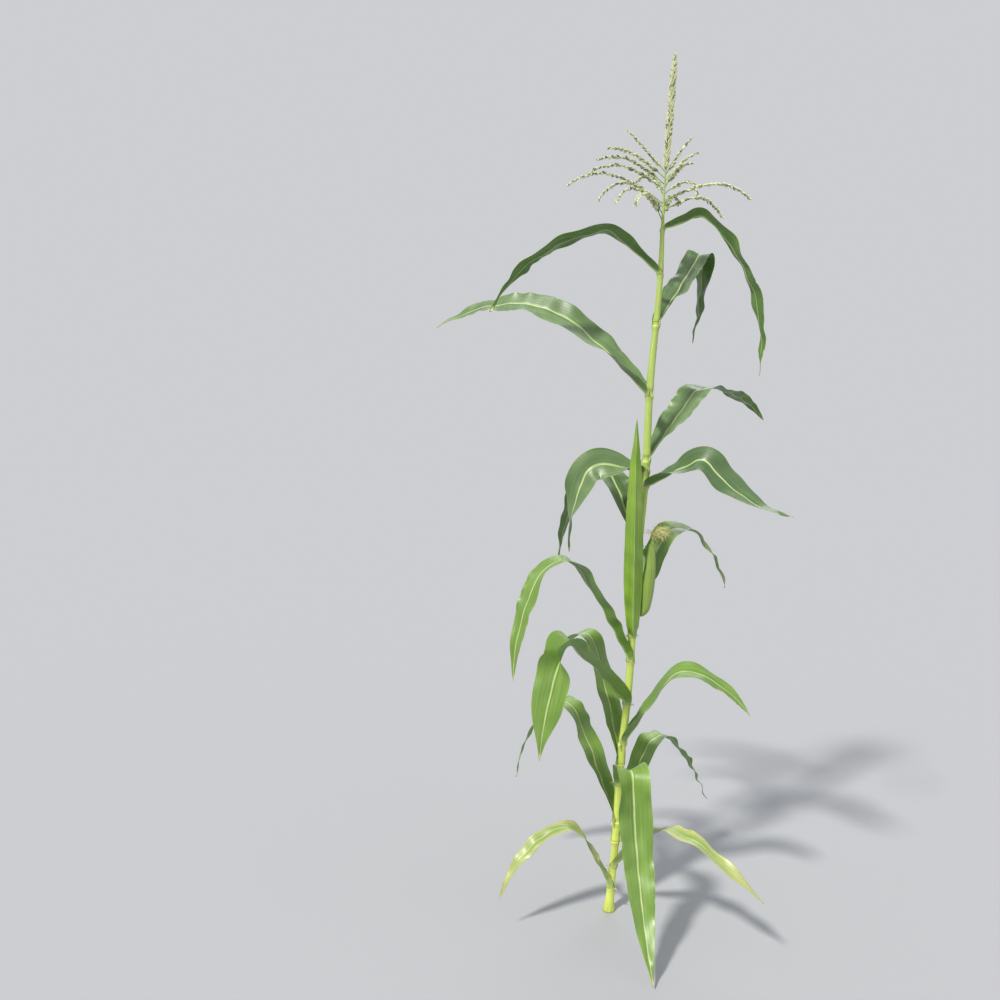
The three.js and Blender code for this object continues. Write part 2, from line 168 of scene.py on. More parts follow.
# Each leaf: number, height, heading, length, width, climb, bend, ease, after and tip, as in the solids,
# and its look
LEAVES = [
    leaf(1, 70, 200, 540, 52, 62, 0.44, 0.35, -12, -72, "pale", roll=-12, roll_tip=-40),
    leaf(2, 130, 312, 560, 58, 48, 0.45, 0.4, -18, -38, "pale", sway=16, roll_tip=30),
    leaf(3, 205, 52, 740, 76, 56, 0.45, 0.3, -35, -62, "light", sway=-14, roll_tip=45),
    leaf(4, 262, 132, 740, 80, 62, 0.5, 0.2, -35, -80, "light", sway=10, roll_tip=-40),
    leaf(5, 372, 276, 700, 102, 38, 0.25, 0.12, -84, -44, "light", wave=4, keel=20, fold=16),
    leaf(6, 432, 112, 640, 76, 70, 0.6, 0.14, -20, -70, "light", sway=40, roll_tip=-40),
    leaf(7, 492, 345, 510, 84, 57, 0.54, 0.2, -8, -56, "fresh", roll=14, roll_tip=40),
    leaf(8, 610, 215, 620, 118, 45, 0.48, 0.1, -62, -84, "light", roll=-4, roll_tip=-60, wave=2, fold=56,
         fullness=5),
    leaf(9, 735, 200, 760, 82, 60, 0.5, 0.28, -52, -90, "fresh", roll_tip=-60),
    leaf(10, 806, 266, 640, 78, 28, 0.06, 0.05, 86, 84, "upright", keel=46, wave=2, pleats=0.65, whole=True),
    leaf(11, 850, 46, 620, 88, 62, 0.5, 0.4, -24, -72, "fresh", sway=-24, roll=12, roll_tip=45),
    leaf(12, 1060, 114, 740, 90, 56, 0.42, 0.4, -40, -80, "deep", sway=8, roll_tip=-30),
    # Leaf 13 takes the cool look darkened with painted shade
    leaf(13, 1232, 326, 480, 94, 28, 0.4, 0.16, -56, -8, "dusk", roll=44, fullness=4.5),
    leaf(14, 1275, 188, 410, 98, 12, 0.38, 0.26, -66, -88, "cool", roll=-72, roll_tip=40),
    leaf(15, 1304, 42, 700, 88, 43, 0.44, 0.1, 8, -34, "cool", roll=20, roll_tip=-30),
    leaf(16, 1488, 156, 780, 102, 46, 0.52, 0.7, -2, -22, "cool", roll=-46, roll_tip=-40),
    # Leaf 17 takes the cool look darkened with painted shade
    leaf(17, 1680, 46, 600, 86, 46, 0.55, 0.07, -92, -112, "dusk", roll=8, roll_tip=50),
    leaf(18, 1822, 188, 600, 60, 40, 0.3, 0.08, -6, -62, "deep", roll=15, roll_tip=50),
    leaf(19, 1944, 332, 590, 62, 14, 0.19, 0.08, -42, -98, "deep", roll=-20, roll_tip=-50),
]

# Ear and silk
EAR = Limb("ear", 858, 352, 250, 0, 34, 0.16, 0.14, 84, 85)
EAR_SIDES = 36
SHANK_RADIUS = 6.5
SHANK_TAPER = 0.4
HUSK_RADIUS = 18.5
HUSK_START = 0.1
HUSK_ROUND = (0.06, 0.96, 0.8, 0.7)
HUSK_LEAVES = 7
HUSK_WRAP = radians(82)
HUSK_TURN = 137.5  # turn from one husk leaf to the next, in degrees
HUSK_SINK = 0.3
HUSK_LAYER = 0.105  # how much deeper each husk leaf lies than the next one
HUSK_HALF_THICK = 0.25
HUSK_MAP_HALF = 26
SILK_SPREAD = 110
SILK_COUNT = 190
SILK_POINTS = 15

# Tassel
SPIKE_LENGTH = 308
SPIKE_ROWS = 48
SPIKE_SPOKES = 8
SPIKE_GLUME_WIDE = 0.36  # width of a glume as a share of its length
SPIKE_GREEN = 0.14  # share of its glumes that are still green
SPIKE_FLOWERING = 0.03  # share of its spikelets with anthers out
STALK_SHARE = 0.14
SPIKELETS_END = 0.965
SPIKELET_PACE = 5.8  # length of branch for each pair of spikelets
BRANCH_GLUME_WIDE = 0.42
BRANCH_FLOWERING = 0.08
GLUME_FLAT = 0.66
ANTHER_WIDE = 0.95
ANTHER_FLAT = 0.7
THREAD_RADIUS = 0.14


def branch(number, height, heading, length, climb, tip):
    after = (climb + tip) / 2
    return Limb(f"tassel_{number:02d}", height, heading, length, 0, climb, 0.5, 1, after, tip)


# Each branch: number, height, heading, length, climb and tip, as in the solids
BRANCHES = [
    branch(1, 1962, 197, 205, 66, -72),
    branch(2, 1972, 62, 190, 58, -30),
    branch(3, 1982, 226, 165, 44, -74),
    branch(4, 1992, 22, 225, 34, -58),
    branch(5, 2002, 164, 225, 50, -58),
    branch(6, 2012, 187, 300, 36, -38),
    branch(7, 2021, 352, 255, 26, -48),
    branch(8, 2030, 108, 200, 56, -20),
    branch(9, 2038, 322, 130, 34, -88),
    branch(10, 2047, 172, 225, 42, -24),
    branch(11, 2056, 300, 120, 40, -12),
    branch(12, 2064, 192, 215, 38, -22),
    branch(13, 2072, 354, 115, 52, 24),
    branch(14, 2080, 178, 180, 44, 4),
    branch(15, 2088, 12, 132, 60, 46),
    branch(16, 2096, 168, 160, 52, 44),
]

# Joints
LIGULE_COLUMNS = 41
LIGULE_WRAP = radians(118)
LIGULE_SURFACES = (1.65, 1.4)  # distances of its faces from the stem's own rule
SCRAPS_BELOW = 1300  # height up to which joints carry scraps
SCRAP_ROWS = 12
SCRAP_HALF_THICK = 0.14


# Rules that the solids follow too

def ramp(value, low, high):
    share = np.clip((value - low) / (high - low), 0, 1)
    return share * share * (3 - 2 * share)


def mix(low, high, share):
    return low + (high - low) * share


def hump(distance, half):
    """1 where the distance is 0, and falling smoothly to both sides of it."""
    return np.exp(-((distance / half) ** 2))


def level_way(turn):
    """Level unit vector with a heading in radians."""
    return np.stack([np.cos(turn), np.sin(turn), 0 * turn], -1)


def turned(first, second, angle):
    """The first direction, turned by an angle towards the second at right angles to it."""
    angle = np.asarray(angle)[..., None]
    return first * np.cos(angle) + second * np.sin(angle)


def stem_axis(height):
    height = np.asarray(height, float)
    sideways = LEAN * height - LEAN_EASE * height**2
    back = BACK_BOW * np.sin(pi * height / STEM_HEIGHT)
    zigzag = ZIGZAG * np.sin(height / ZIGZAG_PACE) * ramp(height, 0, ZIGZAG_FULL_AT)
    return np.stack([sideways + zigzag, back, height], -1)


def stem_radius(height):
    height = np.asarray(height, float)
    share = np.clip(height / STEM_HEIGHT, 0, 1)
    taper = TOP_RADIUS + (FOOT_RADIUS - TOP_RADIUS) * (1 - share**TAPER_START) ** TAPER_END
    flare = FLARE * np.exp(-np.maximum(height, 0) / FLARE_HEIGHT)
    return taper + flare + sum(JOINT_SWELL * hump(height - each.height, JOINT_HALF) for each in LEAVES)


def frame_at(limb, share):
    """Directions along a limb, to its side and out of its face, at a share of its length."""
    share = np.asarray(share, float)
    bent = ramp(share, limb.bend - limb.ease / 2, limb.bend + limb.ease / 2)
    past = np.maximum(0, (share - limb.bend) / (1 - limb.bend))
    slope = np.radians(mix(limb.climb, limb.after, bent) + (limb.tip - limb.after) * past)
    level = level_way(np.radians(limb.heading + limb.sway * share))
    along = turned(level, UP, slope)
    side = np.cross(UP, level)
    before = limb.roll * ramp(share, 0, limb.bend)
    roll = np.radians(np.where(share < limb.bend, before, mix(limb.roll, limb.roll_tip, past)))
    side = turned(side, np.cross(along, side), roll)
    return along, side, np.cross(along, side)


def point_on(limb, share):
    """Point on the middle line of a limb."""
    middles = (np.arange(SPINE_STEPS) + 0.5) / SPINE_STEPS
    steps = frame_at(limb, middles)[0] * limb.length / SPINE_STEPS
    spine = stem_axis(limb.height) + np.vstack([0 * UP, np.cumsum(steps, axis=0)])
    places = np.arange(SPINE_STEPS + 1) / SPINE_STEPS
    return np.stack([np.interp(share, places, spine[:, axis]) for axis in range(3)], -1)


def half_width(limb, share):
    opening = mix(COLLAR_SHARE, 1, np.sin(pi / 2 * np.minimum(1, share / WIDEST_AT)))
    narrow = np.maximum(0, 1 - share**limb.fullness) ** TIP_FALL
    return limb.width / 2 * opening * narrow + mix(1, 0.3, share)


def keel_at(limb, share):
    opening = mix(KEEL_AT_STEM, KEEL_OPEN, ramp(share, 0, WIDEST_AT))
    fold = limb.fold * hump(share - limb.bend - FOLD_PAST, FOLD_HALF)
    return np.radians(np.maximum(limb.keel, opening) + fold)


def ear_radius(share):
    shank = SHANK_RADIUS * (1 - SHANK_TAPER * share)
    start, end, low, full = HUSK_ROUND
    place = mix(start, end, np.clip((share - HUSK_START) / (1 - HUSK_START), 0, 1))
    husk = HUSK_RADIUS * np.sin(pi * place**low) ** full
    return np.where(share > HUSK_START, np.maximum(shank, husk), shank)


# Meshes

def fill(items, name, values, kind=np.float32):
    """Sets one value on each item of a mesh."""
    items.foreach_set(name, np.asarray(values, kind).ravel())


class Faces:
    """Points and faces that are joined into one mesh."""

    def __init__(self):
        self.points = []
        self.faces = []
        self.count = 0
        self.tips = None  # distance of each point from its leaf's tip

    def add(self, points, faces, slots, places):
        """faces: (n, k) point numbers. slots: one, or one for each face. places: (n, k, 2)."""
        self.faces.append((faces + self.count, np.broadcast_to(slots, len(faces)), places))
        if points is not None:
            self.points.append(points.reshape(-1, 3))

    def close(self):
        """Ends one lump of points, so that the next faces count from zero again."""
        self.count = sum(len(points) for points in self.points)

    def mesh(self, name):
        faces, slots, places = zip(*self.faces)
        points = np.concatenate(self.points) * METRE
        corners = np.concatenate([each.ravel() for each in faces])
        sizes = np.concatenate([np.full(len(each), each.shape[1]) for each in faces])
        mesh = bpy.data.meshes.new(name)
        mesh.vertices.add(len(points))
        mesh.loops.add(len(corners))
        mesh.polygons.add(len(sizes))
        fill(mesh.vertices, "co", points)
        fill(mesh.loops, "vertex_index", corners, np.int32)
        fill(mesh.polygons, "loop_start", np.cumsum(sizes) - sizes, np.int32)
        fill(mesh.polygons, "material_index", np.concatenate(slots), np.int32)
        layer = mesh.uv_layers.new(name="UVMap")
        fill(layer.data, "uv", np.concatenate([each.reshape(-1, 2) for each in places]))
        if self.tips is not None:
            fill(mesh.attributes.new("tip", "FLOAT", "POINT").data, "value", self.tips)
        mesh.update(calc_edges=True)
        mesh.validate()
        mesh.shade_smooth()
        return mesh


def spokes(count):
    """Even turns all the way round, in radians."""
    return np.arange(count) * 2 * pi / count


def strip_faces(rows, columns):
    """Quads between the rows of a strip that closes on itself, and the row and column of each corner."""
    row, column = np.meshgrid(np.arange(rows - 1), np.arange(columns), indexing="ij")
    row = row.ravel()[:, None] + [0, 0, 1, 1]
    column = column.ravel()[:, None] + [0, 1, 1, 0]
    return row * columns + column % columns, row, column


def add_shell(faces, ring, across, along, slots=0, cap_slot=0):
    """A closed lump from rows of points round it. across, along: map places of its columns and rows."""
    rows, wide = ring.shape[:2]
    quads, row, column = strip_faces(rows, wide)
    faces.add(ring, quads, slots, np.stack([across[column], along[row]], -1))
    first = np.arange(wide)
    for cap in (first[::-1], first + (rows - 1) * wide):
        faces.add(None, cap[None], cap_slot, np.zeros((1, wide, 2)))
    faces.close()


def add_tube(faces, centres, sides, fronts, radii, count, slots=0):
    """A closed tube through the centres. radii: one for each ring, or for each ring and spoke."""
    radii = np.asarray(radii, float)
    if radii.ndim == 1:
        radii = radii[:, None] * np.ones(count)
    ring = centres[:, None] + turned(sides[:, None], fronts[:, None], spokes(count)) * radii[..., None]
    steps = np.linalg.norm(np.diff(centres, axis=0), axis=1)
    across = np.arange(count + 1) * 2 * pi * radii.mean() / count
    add_shell(faces, ring, across, np.concatenate([[0], np.cumsum(steps)]), slots)


def add_object(name, data):
    item = bpy.data.objects.new(name, data)
    bpy.context.scene.collection.objects.link(item)
    return item


def add_piece(name, faces, materials, nodes=()):
    piece = add_object(name, faces.mesh(name))
    for material in materials:
        piece.data.materials.append(material)
    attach(piece, "root")
    if nodes:
        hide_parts(*nodes)


# Materials. Widths and lengths on the map are in millimetres.

class Shader:
    """Short calls for the nodes of one material. across, along: places on the map."""

    def __init__(self, name, roughness):
        self.material = bpy.data.materials.new(name)
        self.material.use_nodes = True
        self.tree = self.material.node_tree
        self.surface = self.tree.nodes["Principled BSDF"].inputs
        self.surface["Roughness"].default_value = roughness
        place = self.node("ShaderNodeUVMap", uv_map="UVMap").outputs[0]
        self.across, self.along, _ = self.node("ShaderNodeSeparateXYZ", {0: place}).outputs

    def put(self, target, value):
        if isinstance(value, bpy.types.NodeSocket):
            self.tree.links.new(value, target)
        else:
            target.default_value = value

    def node(self, kind, inputs=(), **values):
        """inputs: for each socket a number, a colour or the output that feeds it."""
        node = self.tree.nodes.new(kind)
        for key, value in values.items():
            setattr(node, key, value)
        for key, value in dict(inputs).items():
            self.put(node.inputs[key], value)
        return node

    def math(self, operation, *values):
        return self.node("ShaderNodeMath", enumerate(values), operation=operation).outputs[0]

    def plus(self, first, second):
        return self.math("ADD", first, second)

    def times(self, first, second):
        return self.math("MULTIPLY", first, second)

    def mix(self, share, low, high):
        inputs = {"Factor": share, "A": low, "B": high}
        return self.node("ShaderNodeMix", inputs, data_type="RGBA").outputs["Result"]

    def from_tip(self):
        return self.node("ShaderNodeAttribute", attribute_name="tip").outputs["Fac"]

    def noise(self, place, scale, detail, **values):
        inputs = {"Vector": place, "Scale": scale, "Detail": detail}
        return self.node("ShaderNodeTexNoise", inputs, **values).outputs[0]

    def streaks(self, pitch, stretch, detail=3.0):
        """Noise drawn out lengthwise: pitch is its width and stretch its length."""
        parts = {"X": self.times(self.across, 1 / pitch), "Y": self.times(self.along, 1 / stretch)}
        place = self.node("ShaderNodeCombineXYZ", parts).outputs[0]
        return self.noise(place, 1.0, detail, noise_dimensions="2D")

    def clouds(self, scale, detail=2.0):
        """Noise in space: scale is the number of its lumps in a metre."""
        return self.noise(self.node("ShaderNodeTexCoord").outputs["Object"], scale, detail)

    def spread(self, value, low, high):
        """Stretches the value so that low becomes 0 and high becomes 1."""
        inputs = {"Value": value, "From Min": low, "From Max": high}
        return self.node("ShaderNodeMapRange", inputs).outputs[0]

    def settle(self, value, calm):
        """Brings a value of 0 to 1 towards its middle where calm is below 1."""
        return self.math("MULTIPLY_ADD", self.math("SUBTRACT", value, 0.5), calm, 0.5)

    def layer(self, under, over, value, low, high, most=1.0):
        """One colour over another: none of it where the value is low, most of it where that is high."""
        return self.mix(self.times(self.spread(value, low, high), most), under, over)

    def bump(self, height, distance, strength):
        inputs = {"Height": height, "Distance": distance, "Strength": strength}
        self.put(self.surface["Normal"], self.node("ShaderNodeBump", inputs).outputs[0])

    def let_light_in(self, weight, scale):
        self.surface["Subsurface Weight"].default_value = weight
        self.surface["Subsurface Scale"].default_value = scale

    def finish(self, colour, roughness=None):
        self.put(self.surface["Base Color"], colour)
        if roughness is not None:
            self.put(self.surface["Roughness"], roughness)
        return self.material


def paint(screen, share=1.0):
    """A colour from its screen values of 0 to 255, made lighter or darker by a share."""
    parts = [value / 255 for value in screen]
    plain = [s / 12.92 if s <= 0.04045 else ((s + 0.055) / 1.055) ** 2.4 for s in parts]
    return tuple(value * share for value in plain) + (1.0,)


def blade_colour(shader, colour, vein_colour, calm):
    """Pale veins, fine lines, broad bands and soft patches. Gives the veins and fine lines too."""
    waver = shader.times(shader.streaks(pitch=14, stretch=160), 2.4)
    vein_turn = shader.times(shader.plus(shader.across, waver), 2 * pi / VEIN_PITCH)
    veins = shader.settle(shader.spread(shader.math("SINE", vein_turn), 0.2, 1.0), calm)
    fine = shader.settle(shader.streaks(pitch=0.55, stretch=26, detail=1.0), calm)
    bands = shader.streaks(pitch=6.5, stretch=260, detail=2.0)
    shown = shader.layer(paint(colour, 0.86), paint(colour, 1.1), fine, 0.3, 0.7)
    shown = shader.mix(shader.times(veins, 0.24), shown, paint(vein_colour))
    shown = shader.layer(shown, paint(colour, 0.62), bands, 0.5, 0.3, most=0.34)
    shown = shader.layer(shown, paint(vein_colour), bands, 0.55, 0.8, most=0.34)
    tint = shader.layer(paint(colour, 0.78), paint(vein_colour, 0.95), shader.clouds(7.0), 0.35, 0.65)
    return shader.mix(0.2, shown, tint), veins, fine


def leaf_ends(shader, colour, dry_reach):
    """Pale collar at the stem, and a dry tip with an uneven edge."""
    uneven = shader.streaks(pitch=2.2, stretch=24)
    from_foot = shader.plus(shader.along, shader.times(uneven, 10))
    colour = shader.layer(colour, paint((168, 184, 104)), from_foot, 26, 9, most=0.8)
    from_dry = shader.math("SUBTRACT", shader.from_tip(), shader.times(uneven, 1.6 * dry_reach))
    colour = shader.layer(colour, paint((176, 178, 84)), from_dry, 0.6 * dry_reach, 0, most=0.6)
    return shader.layer(colour, paint((168, 140, 92)), from_dry, 0, -0.5 * dry_reach)


def old_margin(shader, colour, green_half):
    """Yellow margins with brown spots, outside the green middle of an ageing leaf."""
    uneven = shader.times(shader.streaks(pitch=5, stretch=30), 12)
    near_tip = shader.spread(shader.from_tip(), 170, 40)
    out = shader.plus(shader.math("ABSOLUTE", shader.across), uneven)
    yellow = shader.math("MAXIMUM", shader.spread(out, green_half, green_half + 12), near_tip)
    colour = shader.mix(shader.times(yellow, 0.7), colour, paint((186, 182, 116)))
    spots = shader.times(yellow, shader.spread(shader.clouds(330.0), 0.58, 0.68))
    return shader.mix(spots, colour, paint((146, 112, 62)))


def blade_material(name, colour, vein_colour, roughness, glow, dry_reach=0, green_half=0):
    """Leaf blade. A husk leaf has no dry reach, and so no collar and no dry tip."""
    shader = Shader(name, roughness)
    calm = shader.spread(shader.from_tip(), 10, 260) if dry_reach else 1.0
    shown, veins, fine = blade_colour(shader, colour, vein_colour, calm)
    if green_half:
        shown = old_margin(shader, shown, green_half)
    if dry_reach:
        shown = leaf_ends(shader, shown, dry_reach)
    relief = shader.plus(shader.times(veins, 0.6), shader.times(fine, 0.4))
    shader.bump(relief, 0.0003, 0.6)
    shader.let_light_in(glow, 0.0016)
    shader.surface["Subsurface Radius"].default_value = (0.45, 1.0, 0.2)
    shader.surface["Coat Weight"].default_value = 0.3
    shader.surface["Coat Roughness"].default_value = 0.35
    shader.surface["Sheen Weight"].default_value = 0.06
    shader.surface["Sheen Roughness"].default_value = 0.4
    return shader.finish(shown, shader.plus(roughness - 0.06, shader.times(fine, 0.14)))


def rib_material(name, colour, edge_colour, dry_reach=0):
    """Midrib, margin and sheath edge: smooth, pale, with faint lengthwise lines."""
    shader = Shader(name, 0.42)
    lines = shader.streaks(pitch=0.5, stretch=40)
    shown = shader.layer(paint(edge_colour), paint(colour), lines, 0.3, 0.75)
    if dry_reach:
        shown = leaf_ends(shader, shown, dry_reach)
    shader.bump(lines, 0.0003, 0.5)
    shader.let_light_in(0.15, 0.002)
    return shader.finish(shown)


def stem_material(name, low_colour, high_colour, rough):
    """Sheath or bare stem: yellow-green at the foot, greener above, finely ribbed lengthwise."""
    shader = Shader(name, rough)
    height = shader.spread(shader.along, *GREENING)
    ribs = shader.streaks(pitch=0.8, stretch=120, detail=4.0)
    wide = shader.streaks(pitch=5.0, stretch=200, detail=2.0)
    mottle = shader.clouds(55.0, 4.0)
    darker = shader.mix(height, paint(low_colour, 0.72), paint(high_colour, 0.7))
    paler = shader.mix(height, paint(low_colour, 1.2), paint(high_colour, 1.25))
    shown = shader.mix(height, paint(low_colour), paint(high_colour))
    shown = shader.layer(shown, darker, ribs, 0.35, 0.7, most=0.45)
    shown = shader.layer(shown, paler, wide, 0.45, 0.75, most=0.6)
    # The foot turns darker and browner over its lowest 40 mm above the ground
    shown = shader.layer(shown, paint((140, 134, 72)), shader.along, *DARKER_FOOT, most=0.45)
    shown = shader.layer(shown, darker, mottle, 0.55, 0.75, most=0.3)
    shown = shader.layer(shown, paint((144, 162, 104)), shader.along, *DULL_TOP, most=0.7)
    shader.bump(ribs, 0.0004, 0.6)
    shader.let_light_in(0.12, 0.003)
    return shader.finish(shown, shader.plus(rough - 0.05, shader.times(ribs, 0.14)))


def dry_material(name, colour, pitch=0.6):
    """Dry or chaffy parts: matt, with lengthwise fibres and small stains."""
    shader = Shader(name, 0.7)
    fibres = shader.streaks(pitch, stretch=12)
    shown = shader.layer(paint(colour, 0.7), paint(colour, 1.12), fibres, 0.3, 0.7)
    shown = shader.layer(shown, paint(colour, 0.62), shader.clouds(160.0), 0.5, 0.8)
    shader.bump(fibres, 0.0003, 0.8)
    return shader.finish(shown)


# Colours of each look of a leaf: upper face, its veins, lower face, its veins. Then its dry reach, and half
# the width of its green middle where its margins are yellow.
LOOKS = {
    "deep": ((60, 90, 34), (108, 138, 70), (70, 102, 36), (120, 150, 76), 9, 0),
    # dusk: the cool look made darker all over, painted shade in its colours
    "dusk": ((68, 96, 52), (118, 144, 96), (62, 94, 34), (112, 142, 72), 9, 0),
    "cool": ((84, 112, 64), (140, 162, 110), (66, 98, 36), (120, 148, 78), 9, 0),
    "fresh": ((92, 128, 42), (148, 176, 90), (88, 124, 40), (142, 170, 86), 12, 0),
    "upright": ((122, 160, 36), (182, 208, 100), (114, 152, 34), (176, 202, 98), 8, 0),
    "light": ((98, 132, 44), (150, 180, 90), (96, 132, 46), (146, 176, 90), 16, 0),
    "pale": ((132, 154, 76), (170, 186, 114), (132, 152, 82), (168, 184, 120), 24, 17),
}


def leaf_materials():
    """The materials of each look, and those that all leaves share."""
    rib = rib_material("midrib_upper", (184, 200, 142), (154, 178, 106), 8)
    rib_back = rib_material("midrib_lower", (156, 182, 102), (126, 158, 74), 8)
    margin = rib_material("margin", (160, 182, 112), (132, 160, 84), 8)
    looks = {}
    for look, (upper, upper_veins, lower, lower_veins, *ends) in LOOKS.items():
        top = blade_material(f"blade_{look}_upper", upper, upper_veins, 0.4, 0.14, *ends)
        back = blade_material(f"blade_{look}_lower", lower, lower_veins, 0.5, 0.14, *ends)
        looks[look] = [top, back, rib, rib_back, margin]
    return looks


UPPER, LOWER, RIB, RIB_BACK, EDGE = range(5)


# Leaves

def blade_rows(limb):
    """Shares of the length for the rows of a blade, close together at its foot."""
    foot = np.linspace(0, CLASP_REACH, 13) / limb.length
    rest = np.linspace(CLASP_REACH, limb.length, int(limb.length / BLADE_ROW)) / limb.length
    return np.concatenate([foot, rest[1:]])


def blade_columns():
    """Places across a blade: to 1 the midrib, to 2 the blade, to 3 the margin."""
    rib = np.arange(RIB_COLUMNS) / RIB_COLUMNS
    blade = 1 + np.arange(BLADE_COLUMNS) / BLADE_COLUMNS
    half = np.concatenate([rib, blade, [2.0, LAST_COLUMN]])
    return np.concatenate([-half[:0:-1], half])


def notches(rng, rows, length):
    """How far small nicks cut into one margin of a blade."""
    cut = np.zeros_like(rows)
    for _ in range(rng.integers(0, 3)):
        place = rng.uniform(0.2, 0.95)
        width = rng.uniform(4, 8)
        depth = rng.uniform(1.5, 4)
        cut += depth * np.maximum(0, 1 - np.abs(rows - place) * length / width) ** 0.8
    return cut


def swellings(rng, rows, across, length):
    """Slow uneven swellings of the blade."""
    lift = 0
    for _ in range(6):
        pace = rng.uniform(1, 5) * length / 300
        lean = rng.uniform(-2.4, 2.4)
        phase = rng.uniform(0, 2 * pi)
        wave = np.sin(2 * pi * pace * rows + lean * across + phase)
        lift = lift + rng.uniform(0.4, 1.4) * wave
    return lift


def blade_spread(limb, rng, rows, column):
    """Half width of each row, that of its midrib, and how far out each point lies."""
    draw = TIP_DRAW + TIP_DRAW_MORE * (limb.fullness - PLAIN_FULLNESS)
    full = np.maximum(half_width(limb, rows) * (1 - draw * ramp(rows, TIP_DRAW_FROM, 1)), LEAST_HALF)
    rib = np.minimum(mix(*RIB_HALF, rows**0.8) * limb.width / RIB_BLADE, full * 0.4)
    edge = np.minimum(MARGIN, full * 0.2)
    blade = full - edge - rib
    place = np.abs(column)
    out = rib * np.minimum(place, 1) + blade * np.clip(place - 1, 0, 1) + edge * np.clip(place - 2, 0, 1)
    cuts = sum(notches(rng, rows, limb.length) * (way * column > 0) for way in (1, -1))
    cuts = np.minimum(cuts * ramp(rows * limb.length, *NICKS_START), NICK_LIMIT * blade)
    return full, rib, out - cuts * ramp(place, 1.5, 2)


def blade_lift(limb, rng, rows, across, out):
    """How far each point stands off the flat blade."""
    reach = rows * limb.length
    which = np.sign(across)
    arch = np.sin(pi * rows)
    wave = arch * np.sin(2 * pi * reach / WAVE_LENGTH + WAVE_SKEW * across)
    calm = 0.55 + 0.45 * np.sin(reach / 61 + 1.7 * which + limb.heading)
    small = arch * np.sin(2 * pi * reach / SMALL_WAVE + 2.1 * which + limb.height)
    fits = np.maximum(0, np.sin(reach / 83 + 2.6 * which + 2 * limb.heading)) ** 2
    lift = out * np.sin(keel_at(limb, rows)) + calm * RUFFLE * limb.wave * across**2 * wave
    lift += SMALL_RUFFLE * limb.wave * fits * across**4 * small
    pleats = limb.pleats * np.cos(2 * pi * out / PLEAT_WIDTH) * (1 - np.abs(across))
    return lift + ramp(reach, *SWELLINGS_START) * (swellings(rng, rows, across, limb.length) + pleats)


def blade_surfaces(limb, rng):
    """Upper and lower points of a blade, row by row, with their places across the map."""
    share = blade_rows(limb)
    rows = share[:, None]
    column = blade_columns()
    place = np.abs(column)
    which = np.sign(column)
    full, rib, out = blade_spread(limb, rng, rows, column)
    across = which * out / full
    lift = blade_lift(limb, rng, rows, across, out)
    groove = hump(out, rib + 0.3) * mix(*GROOVE, rows)
    ridge = hump(out, 1.25 * rib + 0.3) * mix(*RIDGE, rows**0.8)
    thick = BLADE_THICK * mix(1, 0.5, np.abs(across))
    inside = place < LAST_COLUMN
    rise = lift - groove * np.where(inside, 1, GROOVE_BELOW) + inside * thick / 2
    drop = lift - groove * GROOVE_BELOW - inside * (ridge + thick / 2)
    _, side, face = frame_at(limb, share)
    sideways = which * out * np.cos(keel_at(limb, rows))
    level = point_on(limb, share)[:, None] + side[:, None] * sideways[..., None]
    upper = clasp(limb, share, column, level + face[:, None] * rise[..., None], CLEAR_INSIDE)
    lower = clasp(limb, share, column, level + face[:, None] * drop[..., None], CLEAR_OUTSIDE)
    narrowed = (full / full.max()) ** LINES_SPREAD
    return share, upper, lower, which * np.clip(place - 1, 0, 2) * limb.width / 2 * narrowed


def clasp(limb, share, column, points, clear):
    """Curls the foot of a blade round the stem, and keeps the rest of it out of the stem."""
    reach = (share * limb.length)[:, None]
    heading = radians(limb.heading)
    turn = heading + column / LAST_COLUMN * CLASP_TURN
    horns = CLASP_HORNS * (column / LAST_COLUMN) ** 2
    height = limb.height - CLASP_DROP + CLASP_CLIMB * reach + horns
    radius = stem_radius(height) + mix(clear - CLEAR_OUTSIDE, clear, ramp(reach, 0, FOOT_RISE))
    ring = stem_axis(height) + level_way(turn) * radius[..., None]
    points = mix(points, ring, 1 - ramp(reach, 2, CLASP_REACH)[..., None])
    centre = stem_axis(points[..., 2])
    away = points - centre + 0.05 * level_way(heading)
    gap = np.linalg.norm(away, axis=-1)
    least = stem_radius(points[..., 2]) + clear
    near = (gap < least) & (reach > FOOT_RISE) & (reach < CLEAR_REACH)
    return centre + away * np.where(near, least / gap, 1)[..., None]


def blade_slots(column, columns):
    """The material of each face of a blade, from its column round both sides."""
    on_top = column < columns - 1
    centre = (columns - 1) / 2
    off = np.abs(np.where(on_top, column + 0.5, 2 * (columns - 1) - column - 0.5) - centre)
    on_rib = off < RIB_COLUMNS
    slots = np.where(on_top, np.where(on_rib, RIB, UPPER), np.where(on_rib, RIB_BACK, LOWER))
    return np.where(off > centre - 1, EDGE, slots)


